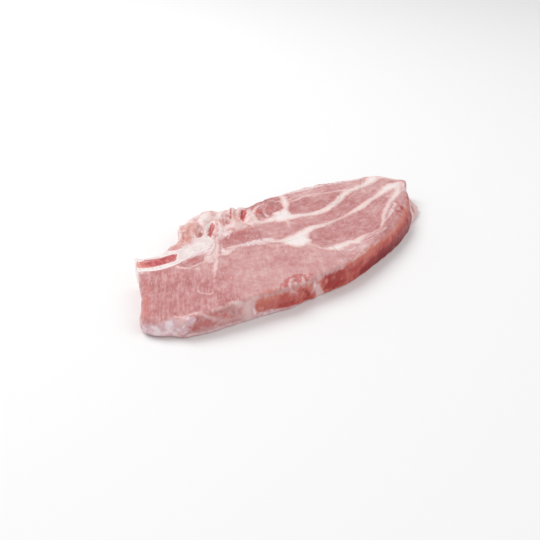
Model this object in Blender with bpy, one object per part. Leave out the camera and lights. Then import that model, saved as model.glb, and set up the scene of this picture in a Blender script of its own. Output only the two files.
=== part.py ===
"""Raw pork shoulder chop with its rib bone, lying on its cut face.

Metres, +Z up. The origin is the middle of the underside, +X runs from the rib end to the
narrow end of the chop and +Y towards the back edge, where the backbone was sawn off.
The chop is one slab of meat with three pieces of bone let into it. The rib and the two
pieces of backbone were sawn flush with the meat, so each runs through the slab.
"""

import math

import bmesh
import bpy
import numpy as np
from mathutils import Vector, noise
from mathutils.geometry import delaunay_2d_cdt

MM = 0.001

# driving dimensions, in millimetres
MIDDLE_X = 0.04223  # middle of the chop's box in the plan of the landmarks below
MIDDLE_Y = 0.87819
THICKNESS = 15.0
RIB_END_THICKNESS = 10.0
THINNING_STARTS_AT_X = -62.0
THINNING_ENDS_AT_X = -116.0
BONE_GAP = 0.3
MOST_UNDERCUT = 4.5
LIP_HEIGHT = 3.0
WALL_RINGS = 3
RIM_STEP = 3.0
GRID_STEP = 3.6
RAGGED_GRID_STEP = 2.1

# The plan outline, anticlockwise from the rib's tip. Each landmark is x, y, how far the
# shoulder draws the top in, how far the underside is drawn in, how ragged the edge is, and
# how much of the shoulder is a low lip, from 0 to 1.
OUTLINE = (
    (-92.0, 28.2, 0.8, 0.8, 0.1, 0.0),  # tip of the rib
    (-94.7, 20.5, 1.0, 0.8, 0.1, 0.0),
    (-97.5, 13.0, 1.2, 0.8, 0.1, 0.0),
    (-101.5, 3.0, 1.6, 1.0, 0.2, 0.0),
    (-105.5, -6.0, 2.0, 1.2, 0.3, 0.0),
    (-111.2, -15.5, 2.5, 2.5, 0.3, 0.0),
    (-115.0, -22.0, 4.0, 4.0, 0.3, 0.0),  # front corner of the rib end
    (-114.4, -27.0, 5.5, 4.5, 0.3, 0.0),
    (-110.0, -32.2, 6.0, 3.5, 0.4, 0.0),
    (-104.0, -35.8, 5.0, 2.5, 0.4, 0.0),
    (-98.5, -39.6, 4.0, 1.5, 0.5, 0.0),
    (-88.0, -42.4, 3.5, 1.2, 0.5, 0.0),
    (-76.0, -43.8, 3.0, 1.0, 0.4, 0.0),
    (-60.0, -45.4, 2.5, 1.0, 0.4, 0.0),
    (-48.0, -47.4, 2.5, 1.0, 0.4, 0.0),
    (-39.0, -48.9, 3.0, 1.0, 0.5, 0.0),
    (-30.0, -48.3, 3.0, 1.0, 0.5, 0.0),
    (-15.0, -48.2, 3.0, 1.0, 0.4, 0.0),
    (2.0, -48.2, 3.0, 1.0, 0.4, 0.0),
    (20.0, -45.0, 4.5, 1.0, 0.3, 0.0),
    (39.0, -39.6, 6.0, 1.0, 0.2, 0.0),
    (54.5, -35.0, 8.0, 0.8, 0.2, 0.0),
    (66.0, -30.4, 10.0, 0.6, 0.2, 0.0),
    (76.5, -25.4, 11.5, 0.5, 0.2, 0.0),
    (88.0, -18.6, 13.0, 0.5, 0.2, 0.1),
    (98.0, -12.8, 13.0, 0.5, 0.2, 0.5),
    (106.5, -7.2, 13.0, 0.5, 0.2, 0.9),
    (109.8, -2.5, 12.0, 0.5, 0.3, 1.0),  # the low flap of fat at the narrow end
    (111.5, 4.0, 8.0, 0.8, 0.3, 1.0),
    (114.3, 9.5, 4.2, 1.0, 0.3, 1.0),
    (115.4, 13.5, 2.4, 1.0, 0.3, 0.7),
    (114.2, 18.0, 1.8, 1.2, 0.4, 0.2),
    (110.6, 21.4, 1.6, 1.2, 0.5, 0.0),
    (106.8, 26.5, 1.6, 1.5, 0.6, 0.0),
    (101.5, 31.8, 1.5, 1.5, 0.6, 0.0),
    (94.0, 34.8, 1.5, 1.5, 0.6, 0.0),
    (80.0, 36.5, 1.5, 1.5, 0.9, 0.0),
    (65.0, 41.0, 1.5, 1.5, 1.0, 0.0),
    (45.0, 44.0, 1.5, 1.5, 1.0, 0.0),
    (25.0, 43.6, 1.5, 1.5, 0.8, 0.0),
    (8.0, 43.6, 1.5, 1.5, 0.8, 0.0),
    (-4.0, 41.5, 1.5, 1.5, 1.2, 0.0),
    (-12.0, 43.5, 1.5, 1.5, 1.4, 0.0),
    (-22.0, 45.5, 1.5, 1.5, 1.4, 0.0),
    (-31.0, 50.5, 1.5, 1.5, 1.6, 0.0),
    (-42.0, 47.5, 1.5, 1.5, 1.6, 0.0),
    (-53.5, 43.5, 1.5, 1.5, 1.6, 0.0),
    (-58.0, 36.0, 1.5, 1.5, 1.4, 0.0),
    (-63.0, 31.0, 1.5, 1.5, 1.2, 0.0),
    (-70.0, 26.5, 1.5, 1.5, 0.8, 0.0),
    (-77.0, 22.0, 1.2, 1.2, 0.3, 0.0),
    (-84.0, 22.4, 0.8, 0.8, 0.1, 0.0),
    (-89.0, 24.6, 0.8, 0.8, 0.1, 0.0),
)

# How a plain shoulder and a low lip rise from the wall to the face: each pair is the share of
# the inset and the share of the rise.
SHOULDER_PROFILE = ((0.04, 0.30), (0.16, 0.55), (0.36, 0.77), (0.64, 0.93), (1.0, 1.0))
LIP_PROFILE = ((0.42, 0.08), (0.50, 0.34), (0.56, 0.62), (0.73, 0.87), (1.0, 1.0))

# Lumps and hollows of the torn back edge: x, y, half length, half width, turn in degrees,
# and height, which is negative for a hollow.
CRAGS = (
    (-62.0, 36.0, 26.0, 14.0, 20.0, -3.0),  # the whole corner sags
    (-53.0, 37.0, 8.0, 6.0, 20.0, 2.6),
    (-57.0, 26.0, 6.0, 3.0, 50.0, 1.8),
    (-66.0, 22.0, 6.0, 3.0, 35.0, 1.6),
    (-47.0, 31.0, 7.0, 1.8, 60.0, -3.0),
    (-40.0, 41.0, 8.0, 5.0, 50.0, 2.4),
    (-40.5, 28.5, 7.5, 1.9, 50.0, -3.2),  # red slot in the backbone
    (-31.0, 44.0, 7.0, 3.0, 65.0, 1.6),
    (-25.0, 33.0, 9.0, 1.8, 52.0, -2.2),
    (-18.0, 40.0, 7.0, 3.0, 50.0, 1.4),
    (-13.0, 34.0, 7.0, 1.9, 52.0, -3.0),  # red slot in the feather bone
    (-3.0, 30.0, 8.0, 3.0, 60.0, 1.2),
    (9.0, 36.0, 9.0, 3.5, 35.0, 1.2),
    (20.0, 34.0, 8.0, 2.0, 60.0, -0.9),
    (-37.0, -45.5, 2.2, 4.0, 20.0, -1.6),  # torn patch on the front edge
    (-31.0, -46.0, 2.0, 4.0, -15.0, -1.8),
    (-25.0, -46.0, 2.0, 3.5, 10.0, -1.4),
    (-19.0, -47.0, 2.4, 3.0, 0.0, -1.0),
    (106.0, 14.0, 12.0, 6.0, 60.0, -1.2),
)

# Plan outlines of the pieces of bone. They run past the chop's own outline where the
# bone shows at the side, and the slab's side then closes them.
RIB = (
    (-100.0, 19.5),
    (-93.0, 34.0),
    (-84.0, 27.0),
    (-76.5, 24.0),
    (-70.0, 18.5),
    (-62.0, 18.4),
    (-54.0, 20.8),
    (-48.5, 24.5),
    (-45.5, 21.0),
    (-47.5, 14.5),
    (-54.0, 9.0),
    (-62.0, 7.6),
    (-70.0, 7.0),
    (-78.0, 6.0),
    (-86.0, 7.5),
    (-93.0, 11.5),
)
MARROW = (
    (-91.8, 22.4),
    (-89.6, 20.4),
    (-86.0, 18.9),
    (-81.5, 17.9),
    (-76.0, 16.9),
    (-71.8, 15.4),
    (-73.4, 12.6),
    (-76.0, 10.8),
    (-80.5, 10.4),
    (-85.0, 11.4),
    (-89.5, 13.6),
    (-92.4, 16.2),
    (-93.2, 19.4),
)
BACKBONE = (
    (-45.5, 26.0),
    (-43.5, 31.5),
    (-38.5, 36.5),
    (-33.5, 38.0),
    (-32.0, 34.5),
    (-34.5, 29.5),
    (-38.0, 25.0),
    (-42.5, 22.5),
)
FEATHER_BONE = (
    (-19.5, 28.0),
    (-17.0, 34.0),
    (-13.0, 39.0),
    (-8.5, 40.0),
    (-7.0, 36.5),
    (-9.5, 32.0),
    (-13.5, 28.0),
    (-17.5, 26.0),
)

COLOURS = {
    "meat": (0.64, 0.33, 0.31),
    "rib_bone": (0.80, 0.66, 0.62),
    "rib_marrow": (0.53, 0.12, 0.13),
    "backbone": (0.78, 0.62, 0.58),
    "feather_bone": (0.78, 0.62, 0.58),
}
ROUGHNESS = {"meat": 0.38, "rib_bone": 0.45, "rib_marrow": 0.5, "backbone": 0.45, "feather_bone": 0.45}


def placed(x, y, z):
    """A place in the plan of the landmarks and a height, as a point in metres."""
    return ((x - MIDDLE_X) * MM, (y - MIDDLE_Y) * MM, z * MM)


def clear_scene():
    for obj in list(bpy.data.objects):
        bpy.data.objects.remove(obj, do_unlink=True)


def eased(start, end, value):
    """0 before start and 1 after end, with a smooth turn between them."""
    share = np.clip((value - start) / (end - start), 0.0, 1.0)
    return share * share * (3.0 - 2.0 * share)


def closed_curve(landmarks, step):
    """A smooth closed curve through the landmarks, with its points step apart."""
    points = np.array(landmarks, float)
    before, after, beyond = (np.roll(points, n, axis=0) for n in (1, -1, -2))
    shares = np.linspace(0.0, 1.0, 24, endpoint=False)[:, None]
    pieces = []
    for a, b, c, d in zip(before, points, after, beyond):
        pieces.append(
            0.5
            * (
                2.0 * b
                + (c - a) * shares
                + (2.0 * a - 5.0 * b + 4.0 * c - d) * shares**2
                + (3.0 * b - a - 3.0 * c + d) * shares**3
            )
        )
    fine = np.concatenate(pieces)
    ring = np.concatenate([fine, fine[:1]])
    along = np.concatenate([[0.0], np.cumsum(np.linalg.norm(np.diff(ring[:, :2], axis=0), axis=1))])
    count = max(8, round(along[-1] / step))
    places = np.linspace(0.0, along[-1], count, endpoint=False)
    return np.stack([np.interp(places, along, ring[:, i]) for i in range(ring.shape[1])], axis=1)


def inward_normals(ring):
    """Unit vectors into an anticlockwise ring, at its points."""
    along = np.roll(ring, -1, axis=0) - np.roll(ring, 1, axis=0)
    along /= np.linalg.norm(along, axis=1)[:, None]
    return np.stack([-along[:, 1], along[:, 0]], axis=1)


def rough(x, y, scale, seed):
    """Smooth noise from about -1 to 1 whose lumps are scale millimetres across."""
    return noise.noise(Vector((x / scale, y / scale, seed)))


def face_height(x, y):
    """Height of the upper cut face above the underside at a place in the plan."""
    thin = eased(THINNING_STARTS_AT_X, THINNING_ENDS_AT_X, x)
    height = THICKNESS + (RIB_END_THICKNESS - THICKNESS) * float(thin)
    for crag_x, crag_y, half_length, half_width, turn, rise in CRAGS:
        angle = math.radians(turn)
        dx, dy = x - crag_x, y - crag_y
        along = (dx * math.cos(angle) + dy * math.sin(angle)) / half_length
        across = (dy * math.cos(angle) - dx * math.sin(angle)) / half_width
        height += rise * math.exp(-1.4 * (along * along + across * across))
    torn = float(eased(14.0, 30.0, y) * eased(8.0, -14.0, x))
    height += 0.35 * rough(x, y, 19.0, 0.0)
    height += torn * 1.3 * rough(x, y, 5.0, 3.0)
    return height


def side_rings():
    """The rings of the slab's side, from the underside's edge up to the rim of the face."""
    curve = closed_curve(OUTLINE, RIM_STEP)
    plan, shoulder, under, ragged, lip = curve[:, :2], *curve[:, 2:].T
    inward = inward_normals(plan)
    torn = [amount * rough(x, y, 6.0, 7.0) for (x, y), amount in zip(plan, ragged)]
    plan = plan + inward * np.array(torn)[:, None]
    rim = plan + inward * shoulder[:, None]
    top = np.array([face_height(x, y) for x, y in rim])
    fall = shoulder + lip * np.maximum(top - LIP_HEIGHT - shoulder, 0.0)
    fall = np.minimum(fall, top - LIP_HEIGHT)
    foot = np.minimum(np.minimum(under, MOST_UNDERCUT), 0.7 * (top - fall))
    rings = [(plan + inward * under[:, None], np.zeros(len(plan)))]
    for step in range(WALL_RINGS):
        share = step / (WALL_RINGS - 1)
        height = foot + (top - fall - foot) * share
        waver = np.array([0.6 * rough(x + y, z, 7.0, 11.0) for (x, y), z in zip(plan, height)])
        rings.append((plan + inward * (waver * ragged)[:, None], height))
    for (plain_in, plain_up), (lip_in, lip_up) in zip(SHOULDER_PROFILE, LIP_PROFILE):
        drawn_in = shoulder * (plain_in + (lip_in - plain_in) * lip)
        risen = plain_up + (lip_up - plain_up) * lip
        rings.append((plan + inward * drawn_in[:, None], top - fall * (1.0 - risen)))
    return rings


def distance_to_ring(places, ring):
    """Distance of each place from the nearest point of the ring."""
    gaps = places[:, None, :] - ring[None, :, :]
    return np.sqrt((gaps**2).sum(axis=2)).min(axis=1)


def staggered_grid(low, high, step):
    """Points of a grid whose rows are staggered like bricks."""
    row_step = step * math.sqrt(3.0) / 2.0
    points = []
    for row in range(int((high[1] - low[1]) / row_step) + 1):
        shift = 0.5 * step * (row % 2)
        for column in range(int((high[0] - low[0]) / step) + 1):
            points.append((low[0] + shift + column * step, low[1] + row * row_step))
    return np.array(points)


def face_points(rim):
    """Points inside the rim, closer together in the torn corner."""
    low, high = rim.min(axis=0), rim.max(axis=0)
    coarse = staggered_grid(low, high, GRID_STEP)
    fine = staggered_grid(low, high, RAGGED_GRID_STEP)
    torn_of_coarse = (coarse[:, 1] > 17.0) & (coarse[:, 0] < 3.0)
    torn_of_fine = (fine[:, 1] > 17.0) & (fine[:, 0] < 3.0)
    points = np.concatenate([coarse[~torn_of_coarse], fine[torn_of_fine]])
    return points[distance_to_ring(points, rim) > 0.55 * RAGGED_GRID_STEP]


def slab_mesh():
    """The whole chop as one closed mesh, before the bones are let in."""
    mesh = bmesh.new()
    layers = []
    rings = side_rings()
    for plan, heights in rings:
        layers.append([mesh.verts.new(placed(x, y, z)) for (x, y), z in zip(plan, heights)])
    count = len(layers[0])
    for lower, upper in zip(layers, layers[1:]):
        for i in range(count):
            j = (i + 1) % count
            mesh.faces.new((lower[i], lower[j], upper[j], upper[i]))
    mesh.faces.new(list(reversed(layers[0])))
    rim = layers[-1]
    rim_plan = rings[-1][0]
    inner = face_points(rim_plan)
    flat = [Vector((x, y)) for x, y in np.concatenate([rim_plan, inner])]
    found = delaunay_2d_cdt(flat, [], [list(range(count))], 1, 1e-6)
    corners = {}
    for index, (place, sources) in enumerate(zip(found[0], found[3])):
        if sources and sources[0] < count:
            corners[index] = rim[sources[0]]
    for triangle in found[2]:
        for index in triangle:
            if index not in corners:
                x, y = found[0][index]
                corners[index] = mesh.verts.new(placed(x, y, face_height(x, y)))
        mesh.faces.new([corners[index] for index in triangle])
    bmesh.ops.recalc_face_normals(mesh, faces=mesh.faces)
    return mesh


def material(name):
    made = bpy.data.materials.new(name)
    made.use_nodes = True
    shader = made.node_tree.nodes["Principled BSDF"]
    shader.inputs["Base Color"].default_value = (*COLOURS[name], 1.0)
    shader.inputs["Roughness"].default_value = ROUGHNESS[name]
    shader.inputs["Metallic"].default_value = 0.0
    return made


def add_object(name, mesh, shaded=None):
    data = bpy.data.meshes.new(name)
    mesh.to_mesh(data)
    mesh.free()
    obj = bpy.data.objects.new(name, data)
    bpy.context.scene.collection.objects.link(obj)
    if shaded:
        data.materials.append(material(shaded))
    return obj


def cutter(name, landmarks, grown):
    """An upright prism over a plan outline, grown outwards, that only cuts other pieces."""
    ring = closed_curve(landmarks, 1.8)
    if np.sum(ring[:, 0] * np.roll(ring[:, 1], -1) - np.roll(ring[:, 0], -1) * ring[:, 1]) < 0:
        ring = ring[::-1]
    ring = ring - inward_normals(ring) * grown
    mesh = bmesh.new()
    floor = [mesh.verts.new(placed(x, y, -10.0)) for x, y in ring]
    face = mesh.faces.new(floor)
    grown_up = bmesh.ops.extrude_face_region(mesh, geom=[face])
    risen = [item for item in grown_up["geom"] if isinstance(item, bmesh.types.BMVert)]
    bmesh.ops.translate(mesh, vec=(0, 0, 40 * MM), verts=risen)
    bmesh.ops.recalc_face_normals(mesh, faces=mesh.faces)
    obj = add_object(name, mesh)
    obj.hide_render = True
    obj.display_type = "WIRE"
    return obj


def cut(obj, other, operation):
    """Adds a Boolean of that operation with the other object."""
    made = obj.modifiers.new(f"{operation.lower()} {other.name}", "BOOLEAN")
    made.operation = operation
    made.solver = "EXACT"
    made.object = other


def inlaid_bone(name, landmarks):
    """A piece of bone that fills its outline right through the slab."""
    bone = add_object(name, slab_mesh(), name)
    cut(bone, cutter(f"{name}_inside", landmarks, 0.0), "INTERSECT")
    return bone


def main():
    clear_scene()
    meat = add_object("meat", slab_mesh(), "meat")
    for name, landmarks in (("rib_bone", RIB), ("backbone", BACKBONE), ("feather_bone", FEATHER_BONE)):
        inlaid_bone(name, landmarks)
        cut(meat, cutter(f"{name}_pocket", landmarks, BONE_GAP), "DIFFERENCE")
    inlaid_bone("rib_marrow", MARROW)
    cut(bpy.data.objects["rib_bone"], cutter("rib_marrow_pocket", MARROW, BONE_GAP), "DIFFERENCE")


main()
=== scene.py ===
"""Looks of the raw pork shoulder chop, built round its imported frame.

Metres, +Z up. The landmarks below are in millimetres on a plan of their own, and ORIGIN is where
the chop's own origin, the middle of its underside, lies on that plan.
"""

import math

import bpy
import numpy as np
from mathutils import Matrix, Vector, noise
from mathutils.geometry import delaunay_2d_cdt


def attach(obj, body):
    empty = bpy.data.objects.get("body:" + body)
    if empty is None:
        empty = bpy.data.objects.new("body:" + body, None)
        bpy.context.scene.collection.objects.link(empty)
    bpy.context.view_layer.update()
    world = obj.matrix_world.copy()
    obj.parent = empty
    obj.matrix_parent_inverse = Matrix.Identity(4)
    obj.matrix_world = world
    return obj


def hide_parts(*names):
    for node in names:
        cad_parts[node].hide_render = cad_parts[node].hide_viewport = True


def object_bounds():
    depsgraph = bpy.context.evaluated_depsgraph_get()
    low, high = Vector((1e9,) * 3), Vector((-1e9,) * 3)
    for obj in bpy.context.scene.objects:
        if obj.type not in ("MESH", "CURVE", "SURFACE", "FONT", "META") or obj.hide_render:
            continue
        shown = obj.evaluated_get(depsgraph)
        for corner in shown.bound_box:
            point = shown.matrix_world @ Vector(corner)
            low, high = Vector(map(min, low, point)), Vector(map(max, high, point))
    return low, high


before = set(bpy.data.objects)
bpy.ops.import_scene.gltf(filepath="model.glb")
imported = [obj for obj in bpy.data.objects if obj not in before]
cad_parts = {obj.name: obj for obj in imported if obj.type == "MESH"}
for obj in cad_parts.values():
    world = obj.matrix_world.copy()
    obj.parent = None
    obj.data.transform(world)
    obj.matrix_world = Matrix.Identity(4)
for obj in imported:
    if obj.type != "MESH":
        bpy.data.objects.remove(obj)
cad_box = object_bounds()

MM = 0.001
PER_METRE = 1000.0
ORIGIN = np.array((0.04223, 0.87819, 0.0))
THICKNESS = 15.0
RIB_END_THICKNESS = 10.0
THINNING = (-62.0, -116.0)
LIP_HEIGHT = 3.0
MOST_UNDERCUT = 4.5
RIM_STEP = 0.8
FACE_STEP = 0.68
UNDERSIDE_STEP = 1.3
EDGE_STEP = 0.5
PRISM_STEP = 0.9
PRISM_ENDS = (-10.0, 30.0)
BONE_GAP = 0.12
SAWN_RELIEF = 1.2
TORN_RELIEF = 1.3
# The strands of torn lean lie as the sawn bones do, at this turn in degrees.
TORN_TURN = 55.0
# Points on a path, how far past its half width it still counts, and how softly two paths join.
PATH_STEP = 0.7
PATH_REACH = 6.0
PATH_ROUNDING = 1.4
# Places whose gaps to a line are worked out at once.
BATCH = 8000

# The plan outline, anticlockwise from the rib's tip: x, y, how far the shoulder draws the top
# in, how far the underside is drawn in, how ragged the edge is, and how much of the shoulder
# is a low lip.
OUTLINE = (
    (-92, 28.2, 0.8, 0.8, 0.1, 0), (-94.7, 20.5, 1, 0.8, 0.1, 0), (-97.5, 13, 1.2, 0.8, 0.1, 0),
    (-101.5, 3, 1.6, 1, 0.2, 0), (-105.5, -6, 2, 1.2, 0.3, 0), (-111.2, -15.5, 2.5, 2.5, 0.3, 0),
    (-115, -22, 4, 4, 0.3, 0), (-114.4, -27, 5.5, 4.5, 0.3, 0), (-110, -32.2, 6, 3.5, 0.4, 0),
    (-104, -35.8, 5, 2.5, 0.4, 0), (-98.5, -39.6, 4, 1.5, 0.5, 0), (-88, -42.4, 3.5, 1.2, 0.5, 0),
    (-76, -43.8, 3, 1, 0.4, 0), (-60, -45.4, 2.5, 1, 0.4, 0), (-48, -47.4, 2.5, 1, 0.4, 0),
    (-39, -48.9, 3, 1, 0.5, 0), (-30, -48.3, 3, 1, 0.5, 0), (-15, -48.2, 3, 1, 0.4, 0),
    (2, -48.2, 3, 1, 0.4, 0), (20, -45, 4.5, 1, 0.3, 0), (39, -39.6, 6, 1, 0.2, 0),
    (54.5, -35, 8, 0.8, 0.2, 0), (66, -30.4, 10, 0.6, 0.2, 0), (76.5, -25.4, 11.5, 0.5, 0.2, 0),
    (88, -18.6, 13, 0.5, 0.2, 0.1), (98, -12.8, 13, 0.5, 0.2, 0.5), (106.5, -7.2, 13, 0.5, 0.2, 0.9),
    (109.8, -2.5, 12, 0.5, 0.3, 1), (111.5, 4, 8, 0.8, 0.3, 1), (114.3, 9.5, 4.2, 1, 0.3, 1),
    (115.4, 13.5, 2.4, 1, 0.3, 0.7), (114.2, 18, 1.8, 1.2, 0.4, 0.2), (110.6, 21.4, 1.6, 1.2, 0.5, 0),
    (106.8, 26.5, 1.6, 1.5, 0.6, 0), (101.5, 31.8, 1.5, 1.5, 0.6, 0), (94, 34.8, 1.5, 1.5, 0.6, 0),
    (80, 36.5, 1.5, 1.5, 0.9, 0), (65, 41, 1.5, 1.5, 1, 0), (45, 44, 1.5, 1.5, 1, 0),
    (25, 43.6, 1.5, 1.5, 0.8, 0), (8, 43.6, 1.5, 1.5, 0.8, 0), (-4, 41.5, 1.5, 1.5, 1.2, 0),
    (-12, 43.5, 1.5, 1.5, 1.4, 0), (-22, 45.5, 1.5, 1.5, 1.4, 0), (-31, 50.5, 1.5, 1.5, 1.6, 0),
    (-42, 47.5, 1.5, 1.5, 1.6, 0), (-53.5, 43.5, 1.5, 1.5, 1.6, 0), (-58, 36, 1.5, 1.5, 1.4, 0),
    (-63, 31, 1.5, 1.5, 1.2, 0), (-70, 26.5, 1.5, 1.5, 0.8, 0), (-77, 22, 1.2, 1.2, 0.3, 0),
    (-84, 22.4, 0.8, 0.8, 0.1, 0), (-89, 24.6, 0.8, 0.8, 0.1, 0),
)
# Profiles of a round shoulder and of a low lip: how far in and how far up, as shares.
SHOULDER_PROFILE = ((0, 0), (0.04, 0.3), (0.16, 0.55), (0.36, 0.77), (0.64, 0.93), (1, 1))
LIP_PROFILE = ((0, 0), (0.42, 0.08), (0.5, 0.34), (0.56, 0.62), (0.73, 0.87), (1, 1))

# Lumps and hollows of the cut face: x, y, half length, half width, turn in degrees, height.
CRAGS = (
    (-62, 36, 26, 14, 20, -3), (-53, 37, 8, 6, 20, 2.6), (-57, 26, 6, 3, 50, 1.8),
    (-66, 22, 6, 3, 35, 1.6), (-47, 31, 7, 1.8, 60, -3), (-40, 41, 8, 5, 50, 2.4),
    (-40.5, 28.5, 7.5, 1.9, 50, -3.2), (-31, 44, 7, 3, 65, 1.6), (-25, 33, 9, 1.8, 52, -2.2),
    (-18, 40, 7, 3, 50, 1.4), (-13, 34, 7, 1.9, 52, -3), (-3, 30, 8, 3, 60, 1.2),
    (9, 36, 9, 3.5, 35, 1.2), (20, 34, 8, 2, 60, -0.9), (-37, -45.5, 2.2, 4, 20, -1.6),
    (-31, -46, 2, 4, -15, -1.8), (-25, -46, 2, 3.5, 10, -1.4), (-19, -47, 2.4, 3, 0, -1),
    (106, 14, 12, 6, 60, -1.2),
)

# Plan outlines of the bones, which run through the slab.
RIB = (
    (-100, 19.5), (-93, 34), (-84, 27), (-76.5, 24), (-70, 18.5), (-62, 18.4), (-54, 20.8),
    (-48.5, 24.5), (-45.5, 21), (-47.5, 14.5), (-54, 9), (-62, 7.6), (-70, 7), (-78, 6), (-86, 7.5),
    (-93, 11.5),
)
MARROW = (
    (-91.8, 22.4), (-89.6, 20.4), (-86, 18.9), (-81.5, 17.9), (-76, 16.9), (-71.8, 15.4), (-73.4, 12.6),
    (-76, 10.8), (-80.5, 10.4), (-85, 11.4), (-89.5, 13.6), (-92.4, 16.2), (-93.2, 19.4),
)
BACKBONE = (
    (-45.5, 26), (-43.5, 31.5), (-38.5, 36.5), (-33.5, 38), (-32, 34.5), (-34.5, 29.5), (-38, 25),
    (-42.5, 22.5),
)
FEATHER_BONE = (
    (-19.5, 28), (-17, 34), (-13, 39), (-8.5, 40), (-7, 36.5), (-9.5, 32), (-13.5, 28), (-17.5, 26),
)

# The middle of the backbone's slot, which is rosy on its right side, and the pale corner of the
# marrow.
SLOT_MIDDLE = (-41.4, 26.8)
MARROW_CORNER = ((-71.6, 16.4),)

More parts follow.
